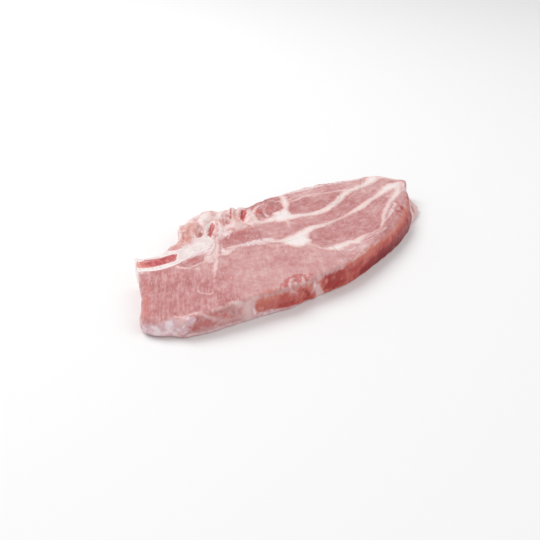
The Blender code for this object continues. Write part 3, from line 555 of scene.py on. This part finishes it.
def side_rings():
    """Rings of points up the slab's side, from the underside's edge to the rim of the face."""
    curve = flowing(OUTLINE, RIM_STEP, closed=True)
    plan, shoulder, under, ragged, lip = curve[:, :2], *curve[:, 2:].T
    inward = inward_normals(plan, 7)
    torn = rough(plan, 6, 7) + 0.55 * rough(plan, 2.4, 21) + 0.3 * rough(plan, 1.2, 31)
    plan = plan + inward_normals(plan, 2) * (ragged * torn)[:, None]
    top = face_height(plan + inward * shoulder[:, None])
    fall = shoulder + lip * np.maximum(top - LIP_HEIGHT - shoulder, 0)
    fall = np.minimum(fall, top - LIP_HEIGHT)
    foot = np.minimum(np.minimum(under, MOST_UNDERCUT), 0.7 * (top - fall))
    levels = []
    for angle in np.linspace(0, math.pi / 2, 6, endpoint=False):
        levels.append((under * (1 - math.sin(angle)), foot * (1 - math.cos(angle))))
    for share in np.linspace(0, 1, 9):
        height = foot + (top - fall - foot) * share
        solid = np.column_stack([plan, height])
        waver = 0.6 * rough(solid, 7, 11) + 0.3 * rough(solid, 2.2, 12)
        levels.append((waver * ragged, height))
    plain = flowing(SHOULDER_PROFILE, 0.11)[1:]
    low = flowing(LIP_PROFILE, 0.11)
    shares, known = np.linspace(0, 1, len(plain) + 1)[1:], np.linspace(0, 1, len(low))
    low = np.stack([np.interp(shares, known, low[:, i]) for i in (0, 1)], axis=1)
    for (plain_in, plain_up), (lip_in, lip_up) in zip(plain, low):
        drawn_in = shoulder * (plain_in + (lip_in - plain_in) * lip)
        risen = plain_up + (lip_up - plain_up) * lip
        levels.append((drawn_in, top - fall * (1 - risen)))
    return [np.column_stack([plan + inward * gap[:, None], height]) for gap, height in levels]


def inside_points(rim, step):
    """Points of a staggered grid inside a ring, clear of its edge."""
    row_step = step * math.sqrt(3) / 2
    low, high = rim.min(axis=0), rim.max(axis=0)
    rows = np.arange(int((high[1] - low[1]) / row_step) + 1)
    columns = np.arange(int((high[0] - low[0]) / step) + 1)
    x = low[0] + columns[None, :] * step + 0.5 * step * (rows[:, None] % 2)
    y = low[1] + rows[:, None] * row_step + 0 * columns[None, :]
    points = np.stack([x.ravel(), y.ravel()], axis=1)
    return points[gap_to(points, rim) > 0.6 * step]


def filled(rim, step):
    """Triangles that fill a ring, and the extra places they need: corners count from the ring."""
    flat = [Vector(place) for place in np.concatenate([rim, inside_points(rim, step)]).tolist()]
    found = delaunay_2d_cdt(flat, [], [list(range(len(rim)))], 1, 1e-6)
    places, triangles, sources = found[0], found[2], found[3]
    number = {i: source[0] for i, source in enumerate(sources) if source and source[0] < len(rim)}
    used = dict.fromkeys(i for triangle in triangles for i in triangle)
    extra = [i for i in used if i not in number]
    number.update((i, len(rim) + n) for n, i in enumerate(extra))
    renumbered = [[number[i] for i in triangle] for triangle in triangles]
    return np.array([tuple(places[i]) for i in extra]), renumbered


def slab():
    """The whole chop as fine points and faces in the plan's millimetres, with no bones let in."""
    points = side_rings()
    count = len(points[0])
    used = len(points) * count
    faces = []
    for low in range(0, used - count, count):
        for i in range(count):
            j = (i + 1) % count
            faces.append((low + i, low + j, low + count + j, low + count + i))
    caps = ((used - count, points[-1], FACE_STEP), (0, points[0], UNDERSIDE_STEP))
    for first, ring, step in caps:
        extra, triangles = filled(ring[:, :2], step)
        points.append(np.column_stack([extra, face_height(extra) if first else np.zeros(len(extra))]))
        for triangle in triangles:
            corners = [first + c if c < count else used + c - count for c in triangle]
            faces.append(corners if first else corners[::-1])
        used += len(extra)
    return np.concatenate(points), faces


def depth_in(places, paths, flat):
    """How deep each place is inside the paths, in millimetres, and less than 0 outside."""
    deep = np.full(len(places), -PATH_REACH)
    width = 2 if flat else 3
    places = places[:, :width]
    for path in paths:
        line = flowing(path, PATH_STEP)
        spine, half = line[:, :width], line[:, width]
        reach = half.max() + PATH_REACH
        lowest, highest = spine.min(axis=0) - reach, spine.max(axis=0) + reach
        near = np.all((places > lowest) & (places < highest), axis=1)
        here = -gap_to(places[near], spine, half)
        blend = np.maximum(PATH_ROUNDING - np.abs(deep[near] - here), 0)
        deep[near] = np.maximum(deep[near], here) + blend * blend / (4 * PATH_ROUNDING)
    return deep


def placed(name, data, **settings):
    """A new object in the scene that shows some data, which takes the settings."""
    for key, value in settings.items():
        setattr(data, key, value)
    obj = bpy.data.objects.new(name, data)
    bpy.context.scene.collection.objects.link(obj)
    return obj


def object_from(name, points, faces):
    """A mesh object from points in the plan's millimetres."""
    data = bpy.data.meshes.new(name)
    data.from_pydata(((points - ORIGIN) * MM).tolist(), [], faces)
    data.update()
    return placed(name, data)


def points_of(obj):
    """An object's points in the plan's millimetres, and its normals there."""
    places, normals = np.zeros((2, len(obj.data.vertices) * 3))
    obj.data.vertices.foreach_get("co", places)
    obj.data.vertex_normals.foreach_get("vector", normals)
    return places.reshape(-1, 3) / MM + ORIGIN, normals.reshape(-1, 3)


def move_points(obj, points):
    """Puts an object's points at places in the plan's millimetres, inside the frame's box."""
    moved = np.clip((points - ORIGIN) * MM, *cad_box)
    obj.data.vertices.foreach_set("co", moved.ravel())
    obj.data.update()


def write_fields(obj, fields):
    """Stores named values, or vectors, for each point of an object."""
    for name, values in fields.items():
        kind, key = ("FLOAT", "value") if values.ndim == 1 else ("FLOAT_VECTOR", "vector")
        layer = obj.data.attributes.new(name, kind, "POINT")
        layer.data.foreach_set(key, values.astype(np.float32).ravel())


def prism(name, landmarks, grown):
    """An upright prism over a plan outline, grown outwards."""
    ring = flowing(landmarks, PRISM_STEP, closed=True)
    x, y = ring.T
    if np.sum(x * np.roll(y, -1) - np.roll(x, -1) * y) < 0:
        ring = ring[::-1]
    ring = ring - inward_normals(ring, 1) * grown
    count = len(ring)
    levels = [np.column_stack([ring, np.full(count, height)]) for height in PRISM_ENDS]
    faces = [(i, (i + 1) % count, count + (i + 1) % count, count + i) for i in range(count)]
    faces.append(tuple(reversed(range(count))))
    faces.append(tuple(range(count, 2 * count)))
    return object_from(name, np.concatenate(levels), faces)


def combined(obj, other, operation):
    """Applies one Boolean between two closed meshes and drops the second."""
    made = obj.modifiers.new("cut", "BOOLEAN")
    made.operation = operation
    made.solver = "MANIFOLD"
    made.object = other
    depsgraph = bpy.context.evaluated_depsgraph_get()
    result = bpy.data.meshes.new_from_object(obj.evaluated_get(depsgraph))
    obj.modifiers.clear()
    old = obj.data
    obj.data = result
    result.name = obj.name
    bpy.data.meshes.remove(old)
    bpy.data.objects.remove(other, do_unlink=True)


def fibre_frame(points):
    """Along and across each muscle's fibres, the tone of its lean and how plainly they show."""
    middles = np.array([muscle[:2] for muscle in MUSCLES])
    reach, tones, turns, plain = np.array([muscle[2:] for muscle in MUSCLES]).T
    gaps = np.linalg.norm(points[:, None, :2] - middles[None], axis=2) / reach[None]
    weights = np.exp(-3 * gaps**2) + 1e-6
    weights /= weights.sum(axis=1)[:, None]
    along, across = turned(points, np.radians(turns[gaps.argmin(axis=1)]))
    return np.column_stack([along, across, points[:, 2]]), weights @ tones, weights @ plain


def paint(obj):
    """Stores on a piece where its fat, film, sinew, red lean and fibres lie."""
    points, normals = points_of(obj)
    x, y, z = points.T
    warped = points.copy()
    for axis, seed in ((0, 41), (1, 47)):
        warped[:, axis] += 0.7 * rough(points, 3.6, seed) + 0.4 * rough(points, 1.5, seed + 3)
    sunk = face_height(points[:, :2]) - z
    scraps = depth_in(warped, SCRAPS, True)
    fat = np.maximum(depth_in(warped, FAT_SEAMS, True), depth_in(warped, SIDE_FAT, False))
    fat = np.maximum(fat, scraps - 4 * eased(4, 7, sunk))
    slots = depth_in(warped, SLOTS, True) - 2 * eased(5, 9, sunk)
    not_under = eased(-0.75, -0.45, normals[:, 2])
    front = eased(14, 6, y)
    soft = 4.6 - 2.7 * eased(-10, 8, x) + 2.3 * eased(20, 55, x)
    skin = eased(0.2, 1, sunk / soft) * not_under * (front * eased(-66, -56, x))
    rightward = eased(4, 45, x)
    # How far down the side each place lies: the side's colour turns redder and darker with it, partly
    # its own red and partly painted shade.
    red_and_shade_drop = sunk / THICKNESS * (0.16 + 0.84 * rightward) + 0.12 * (1 - rightward)
    low = eased(0.5, 3.5, sunk) * front * not_under
    scraped_side = eased(-57, -53, x) * eased(-18, -23, x)
    fibres, tone, fibrous = fibre_frame(points)
    fields = {
        "fibres": fibres,
        "fibrous": fibrous,
        "tone": tone,
        "fat": np.clip(fat, -5, 5),
        "film": eased(-2.6, 1.6, depth_in(warped, FILM, False)),
        "blood": eased(-0.8, 0.5, np.maximum(slots, depth_in(warped, SPOTS, False))),
        "sinew": eased(-2.2, 1.8, depth_in(warped, SINEW, True)) * eased(6.5, 3.5, sunk),
        "skin": 1.5 * skin - 0.1,
        "red_and_shade_drop": red_and_shade_drop * skin,
        "low": low,
        "flecks": low * (0.35 * scraped_side - 0.55),
        "torn": torn_share(points) * (eased(8, 4, sunk) * eased(0, 10, y)),
        # Crests of the torn lean: its colour follows them, with painted shade darkening the valleys.
        "crest_tone_and_shade": crests(points),
        "foot": eased(1.5, 0.5, z) * eased(-0.9, -0.5, normals[:, 2]),
    }
    for name, paths, start in (("salmon", SALMON, -3.4), ("red", RED, -2.6), ("deep", DEEP, -2.8)):
        fields[name] = 1.5 * eased(start, 1.4, depth_in(warped, paths, False)) - 0.5
    open_top = eased(7, 4, sunk) * eased(0.6, -0.6, scraps)
    # Scraped lean and chunks take the meat's own colours; the creases carry painted shade.
    for name, paths in (("scraped", SCRAPED), ("chunks", CHUNKS), ("creases", CREASES)):
        fields[name] = eased(-1.2, 0.8, depth_in(warped, paths, True)) * open_top
    write_fields(obj, fields)


def colour(code):
    """A colour written as sRGB hex, as linear light."""
    parts = [int(code[i : i + 2], 16) / 255 for i in (1, 3, 5)]
    linear = [part / 12.92 if part <= 0.04045 else ((part + 0.055) / 1.055) ** 2.4 for part in parts]
    return (*linear, 1)


def add(tree, kind, settings=None, inputs=None, output=0):
    """Adds a node with its settings and links, and gives one of its outputs. Each input is a
    number, a colour's code or a socket to link."""
    node = tree.nodes.new(kind)
    for key, value in (settings or {}).items():
        setattr(node, key, value)
    for key, value in (inputs or {}).items():
        if isinstance(value, bpy.types.NodeSocket):
            tree.links.new(value, node.inputs[key])
        else:
            node.inputs[key].default_value = colour(value) if isinstance(value, str) else value
    return node.outputs[output]


def lumps(tree, vector, scale, detail, roughness):
    """Lumpy noise from -0.5 to 0.5."""
    inputs = {"Vector": vector, "Scale": scale, "Detail": detail, "Roughness": roughness}
    inputs = {0: add(tree, "ShaderNodeTexNoise", None, inputs), 1: 0.5}
    return add(tree, "ShaderNodeMath", {"operation": "SUBTRACT"}, inputs)


def patterns(tree):
    """The noises that meat and bone share, each from -0.5 to 0.5."""
    place = add(tree, "ShaderNodeTexCoord", output="Object")
    fibres = add(tree, "ShaderNodeAttribute", {"attribute_name": "fibres"}, output="Vector")
    found = {"place": place}
    for name, size, stretch, detail, roughness in NOISES:
        vector, scale = place, PER_METRE
        if stretch:
            inputs = {0: fibres, 1: stretch}
            vector, scale = add(tree, "ShaderNodeVectorMath", {"operation": "MULTIPLY"}, inputs), 1
        found[name] = lumps(tree, vector, scale / size, detail, roughness)
    return found


def wavered(tree, source, noises, swings):
    """A value, or a value stored by its name, with noise added so that its edge wanders."""
    if isinstance(source, str):
        source = add(tree, "ShaderNodeAttribute", {"attribute_name": source}, output="Fac")
    for name, amount in swings.items():
        inputs = {0: noises[name], 1: amount, 2: source}
        source = add(tree, "ShaderNodeMath", {"operation": "MULTIPLY_ADD"}, inputs)
    return source


def laid_over(tree, under, over, value, start, full, most=1):
    """One colour over another, from nothing where the value is start to most where it is full."""
    inputs = {0: value, 1: start, 2: full, 3: 0, 4: most}
    share = add(tree, "ShaderNodeMapRange", {"interpolation_type": "SMOOTHSTEP"}, inputs)
    return add(tree, "ShaderNodeMix", {"data_type": "RGBA"}, {0: share, 6: under, 7: over}, 2)


def tinted(tree, value, low, high, steps):
    """Colours along a value between two limits."""
    share = add(tree, "ShaderNodeMapRange", None, {0: value, 1: low, 2: high})
    found = add(tree, "ShaderNodeValToRGB", None, {0: share})
    elements = found.node.color_ramp.elements
    elements.remove(elements[1])
    elements[0].position, elements[0].color = steps[0][0], colour(steps[0][1])
    for position, code in steps[1:]:
        elements.new(position).color = colour(code)
    return found


def layered(tree, shade, noises, layers):
    """Lays the rows of a table of layers over a colour, one after another."""
    for name, swings, start, full, most, over in layers:
        shade = laid_over(tree, shade, over, wavered(tree, name, noises, swings), start, full, most)
    return shade


def flesh(tree, noises):
    """Colour of raw pork, and how deep each place lies in fat."""
    inputs = {0: wavered(tree, "fibrous", noises, {}), 1: wavered(tree, 0, noises, FIBRE_SWINGS)}
    grain = add(tree, "ShaderNodeMath", {"operation": "MULTIPLY"}, inputs)
    inputs = {0: grain, 1: wavered(tree, "tone", noises, LEAN_SWINGS)}
    tone = add(tree, "ShaderNodeMath", {"operation": "ADD"}, inputs)
    lean = tinted(tree, tone, *TONE_LIMITS, LEAN_STEPS)
    # The rolled side: its own red, darker towards the bottom as painted shade.
    red_and_shade_drop = wavered(tree, "red_and_shade_drop", noises, {"patches": 0.5, "strands": 0.6, "mottle": 0.45})
    roll = tinted(tree, red_and_shade_drop, 0, 1, ROLL_RED_AND_SHADE_STEPS)
    # Torn lean by its crests: its own tone, with painted shade darkening the valleys.
    torn = tinted(tree, wavered(tree, "crest_tone_and_shade", noises, {"mottle": 0.6}), 0, 1, TORN_TONE_AND_SHADE_STEPS)
    film = laid_over(tree, "#e0bac2", "#fae8eb", noises["blotches"], -0.2, 0.2)
    sinew = laid_over(tree, "#f6e8e6", "#e8ced0", noises["threads"], -0.15, 0.15)
    layers = (
        ("skin", {"strands": 1.1, "mottle": 1.6, "blotches": 0.7}, 0.1, 0.9, 1, roll),
        *REDDER_LAYERS,
        ("torn", {}, 0.1, 0.9, 0.6, torn),
        ("film", {"mottle": 1}, 0.05, 0.85, 0.9, film),
        ("sinew", {"strands": 1.3, "mottle": 1.1}, 0.2, 1, 0.85, sinew),
        ("flecks", {"strands": 1, "threads": 0.5, "blotches": 0.6}, 0.19, 0.33, 0.55, "#f4d8d1"),
        ("foot", {}, 0.2, 1, 0.75, "#e6b6b3"),
    )
    depth = wavered(tree, "fat", noises, {"strands": 1.7, "mottle": 1.9, "grain": 0.5})
    fat = tinted(tree, depth, -0.5, 3.4, FAT_STEPS)
    fat = layered(tree, fat, noises, (("low", {}, 0, 1, 0.5, "#dca6a6"),))
    shade = laid_over(tree, layered(tree, lean, noises, layers), fat, depth, -1, 0.8)
    return layered(tree, shade, noises, TORN_LAYERS), depth


def new_material(name):
    """A material, its nodes and the noises in them."""
    made = bpy.data.materials.new(name)
    made.use_nodes = True
    return made, made.node_tree, patterns(made.node_tree)


def finish_material(tree, shade, height, wet, dull, settings):
    """The shader: a bump from a height in metres, and roughness that follows how wet it is."""
    tree.nodes.remove(tree.nodes["Principled BSDF"])
    inputs = {"Strength": 0.8, "Distance": 1, "Height": height}
    bump = add(tree, "ShaderNodeBump", None, inputs)
    inputs = {0: wet, 1: -0.25, 2: 0.25, 3: dull[0], 4: dull[1]}
    roughness = add(tree, "ShaderNodeMapRange", None, inputs)
    inputs = {"Base Color": shade, "Roughness": roughness, "Normal": bump, **settings}
    shader = add(tree, "ShaderNodeBsdfPrincipled", None, inputs)
    tree.links.new(shader, tree.nodes["Material Output"].inputs[0])


def raw_pork():
    """Lean and fat as the knife leaves them: moist, so soft highlights break along the fibres,
    and slightly see-through, so that light inside warms the edges and softens the shadows."""
    made, tree, noises = new_material("raw pork, knife cut")
    shade, depth = flesh(tree, noises)
    inputs = {0: depth, 1: -1.2, 2: 1.2, 3: 0, 4: FAT_STEP}
    step = add(tree, "ShaderNodeMapRange", None, inputs)
    heights = {"strands": 0.0006, "threads": 0.00035, "mottle": 0.0004, "grain": 0.00012}
    height = wavered(tree, step, noises, heights)
    wet = wavered(tree, noises["mottle"], noises, {"patches": 1})
    settings = {
        "Subsurface Weight": 0.15,
        "Subsurface Radius": (1, 0.45, 0.35),
        "Subsurface Scale": 0.0012,
        "IOR": 1.38,
        "Specular IOR Level": 0.35,
        "Coat Weight": 0.12,
        "Coat Roughness": 0.14,
    }
    finish_material(tree, shade, height, wet, (0.28, 0.5), settings)
    return made


def sawn_bone():
    """Fresh bone from the saw: hard and pale, greyed by the blade, with pores as fine as the
    render shows and lean and sinew that lap over its edge."""
    made, tree, noises = new_material("fresh bone, sawn")
    pores = add(tree, "ShaderNodeTexVoronoi", None, {"Scale": 1300, "Vector": noises["place"]})
    cloudy = wavered(tree, noises["mottle"], noises, {"threads": 1})
    edge = wavered(tree, "edge", noises, {"mottle": 1.6, "threads": 1.2})
    shade = laid_over(tree, "#eee4e1", "#e2cfcd", cloudy, -0.2, 0.2)
    shade = laid_over(tree, "#f3e7e3", shade, edge, 0.4, 1.6)
    shade = laid_over(tree, "#e6c2bc", shade, pores, 0.05, 0.3)
    lap = ("lap", {"threads": 1, "mottle": 0.8}, 0.25, 0.95, 1, flesh(tree, noises)[0])
    shade = layered(tree, shade, noises, (lap, *BONE_LAYERS))
    height = wavered(tree, 0, noises, {"grain": 0.0001, "mottle": 0.0003, "threads": 0.0001})
    gloss = {"IOR": 1.5, "Coat Weight": 0.1, "Coat Roughness": 0.2}
    finish_material(tree, shade, height, noises["mottle"], (0.36, 0.5), gloss)
    return made


def red_marrow():
    """Red marrow in spongy bone, sawn along the rib: wet and dark, with pale struts across it."""
    made, tree, noises = new_material("red marrow, sawn")
    inputs = {"Vector": noises["place"], "Scale": (1, 0.22, 0.5), "Rotation": (0, 0, -0.3)}
    along_rib = add(tree, "ShaderNodeMapping", None, inputs)
    # The struts stand about 1 mm apart.
    noises["struts"] = lumps(tree, along_rib, PER_METRE, 3, 0.6)
    deep = wavered(tree, 0, noises, {"struts": 2, "mottle": 2})
    shade = laid_over(tree, "#a9343f", "#ca5f60", deep, -0.5, 0.4)
    shade = laid_over(tree, shade, "#e09a94", noises["struts"], 0.02, 0.22, 0.55)
    shade = layered(tree, shade, noises, MARROW_LAYERS)
    edge = wavered(tree, "edge", noises, {"mottle": 1.4, "struts": 0.8})
    shade = laid_over(tree, "#cf8682", shade, edge, 0.1, 1)
    height = wavered(tree, 0, noises, {"struts": 0.0005, "mottle": 0.0005})
    gloss = {"IOR": 1.4, "Coat Weight": 0.2, "Coat Roughness": 0.15}
    finish_material(tree, shade, height, noises["mottle"], (0.3, 0.46), gloss)
    return made


def pale_floor():
    """A plain white floor."""
    made = bpy.data.materials.new("white studio floor")
    made.use_nodes = True
    inputs = made.node_tree.nodes["Principled BSDF"].inputs
    inputs["Base Color"].default_value = colour("#f4f4f4")
    inputs["Roughness"].default_value = 0.7
    inputs["Specular IOR Level"].default_value = 0.1
    return made


def finish_piece(obj, made, node):
    """Shades a piece smooth but for its sharp edges, and ties it to the frame."""
    obj.data.materials.clear()
    obj.data.materials.append(made)
    obj.data.shade_smooth()
    obj.data.set_sharp_from_angle(angle=math.radians(50))
    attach(obj, "root")
    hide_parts(node)


def build_meat(points, faces):
    """The slab with its fine relief, and pockets cut for the bones."""
    meat = object_from("marbled_meat", points, faces)
    places, normals = points_of(meat)
    fat = np.maximum(depth_in(places, FAT_SEAMS, True), depth_in(places, SIDE_FAT, False))
    up = eased(0.2, 0.8, normals[:, 2])
    side = eased(0.9, 0.5, np.abs(normals[:, 2]))
    fibres, _, fibrous = fibre_frame(places)
    strands = rough(fibres * np.array((0.16, 1, 0.5)), 1.7, 5) * fibrous
    lift = up * (0.24 * eased(-1.2, 1.2, fat) - 0.12) + up * 0.14 * strands * eased(0.5, -0.8, fat)
    lift += (up + 0.8 * side) * (0.16 * rough(places, 2.6, 8) + 0.08 * rough(places, 1.2, 9))
    lift += side * 0.3 * rough(places * np.array((1, 1, 2)), 5, 15)
    lift += (up + 0.5 * side) * torn_share(places) * TORN_RELIEF * (crests(places) - 0.5)
    lift -= up * TORN_RELIEF * eased(-1.2, 0.4, depth_in(places, CREASES, True))
    move_points(meat, places + normals * lift[:, None])
    for name, landmarks in (("rib", RIB), ("spine", BACKBONE), ("feather", FEATHER_BONE)):
        combined(meat, prism(f"{name}_pocket", landmarks, 0), "DIFFERENCE")
    paint(meat)
    return meat


def build_bone(name, points, faces, landmarks, hollow=None):
    """A piece of bone that fills its pocket."""
    bone = object_from(name, points, faces)
    torn = landmarks in (BACKBONE, FEATHER_BONE)
    if torn:
        places, normals = points_of(bone)
        sawn = torn_share(places) * eased(0.2, 0.8, normals[:, 2]) * SAWN_RELIEF * (crests(places) - 0.5)
        move_points(bone, places + normals * sawn[:, None])
    combined(bone, prism(f"{name}_inside", landmarks, BONE_GAP), "INTERSECT")
    if hollow:
        combined(bone, prism(f"{name}_hollow", hollow, 0), "DIFFERENCE")
    places = points_of(bone)[0]
    plan = places[:, :2]
    x, y = plan.T
    gaps = gap_to(plan, flowing(landmarks, EDGE_STEP, closed=True))
    edge = np.minimum(gaps, gap_to(plan, flowing(OUTLINE, RIM_STEP, closed=True)[:, :2]) + 0.6)
    if hollow:
        edge = np.minimum(edge, gap_to(plan, flowing(hollow, EDGE_STEP, closed=True)))
    beside_slot = 0.8 * (x - SLOT_MIDDLE[0]) - 0.6 * (y - SLOT_MIDDLE[1])
    paint(bone)
    write_fields(bone, {
        "edge": np.clip(edge, 0, 3),
        "rosy": float(torn) * (0.2 + 0.8 * eased(-0.5, 1.5, beside_slot)),
        "pale_end": eased(-88.5, -91.5, x),
        "corner": eased(3, 1.6, gap_to(plan, MARROW_CORNER)),
        "lap": eased(2.2, 0.1, gaps) * (0.05 + 0.95 * eased(-76, -66, x)),
        "stain": eased(-0.6, 0.5, depth_in(places, STAIN, True)),
    })
    return bone


def studio():
    """White floor, soft light from above and a camera at the photograph's angle."""
    scene = bpy.context.scene
    floor_mesh = bpy.data.meshes.new("floor")
    corners = [(x * FLOOR_REACH, y * FLOOR_REACH, 0) for x, y in ((-1, -1), (1, -1), (1, 1), (-1, 1))]
    floor_mesh.from_pydata(corners, [], [(0, 1, 2, 3)])
    floor_mesh.materials.append(pale_floor())
    floor = placed("floor", floor_mesh)

    scene.world = bpy.data.worlds.new("soft daylight")
    scene.world.use_nodes = True
    sky = scene.world.node_tree.nodes["Background"].inputs
    sky[0].default_value = colour("#ffffff")
    sky[1].default_value = 0.6
    for name, place, size, power in LAMPS:
        lamp = placed(name, bpy.data.lights.new(name, "AREA"), shape="DISK", size=size, energy=power)
        lamp.location = place
        lamp.rotation_euler = Vector(place).to_track_quat("Z", "Y").to_euler()

    lens = {"lens": CAMERA_LENS, "sensor_width": 36, "clip_start": 0.01}
    camera = placed("camera", bpy.data.cameras.new("camera"), **lens)
    right, up = Vector(CAMERA_RIGHT).normalized(), Vector(CAMERA_UP).normalized()
    turn = Matrix((right, up, right.cross(up))).transposed().to_4x4()
    place = (np.array(CAMERA_PLACE) - ORIGIN) * MM
    camera.matrix_world = Matrix.Translation(Vector(place.tolist())) @ turn
    scene.camera = camera
    scene.view_settings.view_transform = "Standard"
    scene.view_settings.look = "None"


def main():
    """Builds the meat and its bones, dresses them and sets them in the studio."""
    points, faces = slab()
    pork, bone, marrow = raw_pork(), sawn_bone(), red_marrow()
    finish_piece(build_meat(points, faces), pork, "meat")
    finish_piece(build_bone("rib", points, faces, RIB, MARROW), bone, "rib_bone")
    finish_piece(build_bone("marrow", points, faces, MARROW), marrow, "rib_marrow")
    finish_piece(build_bone("spine_piece", points, faces, BACKBONE), bone, "backbone")
    finish_piece(build_bone("feather_piece", points, faces, FEATHER_BONE), bone, "feather_bone")
    studio()


main()
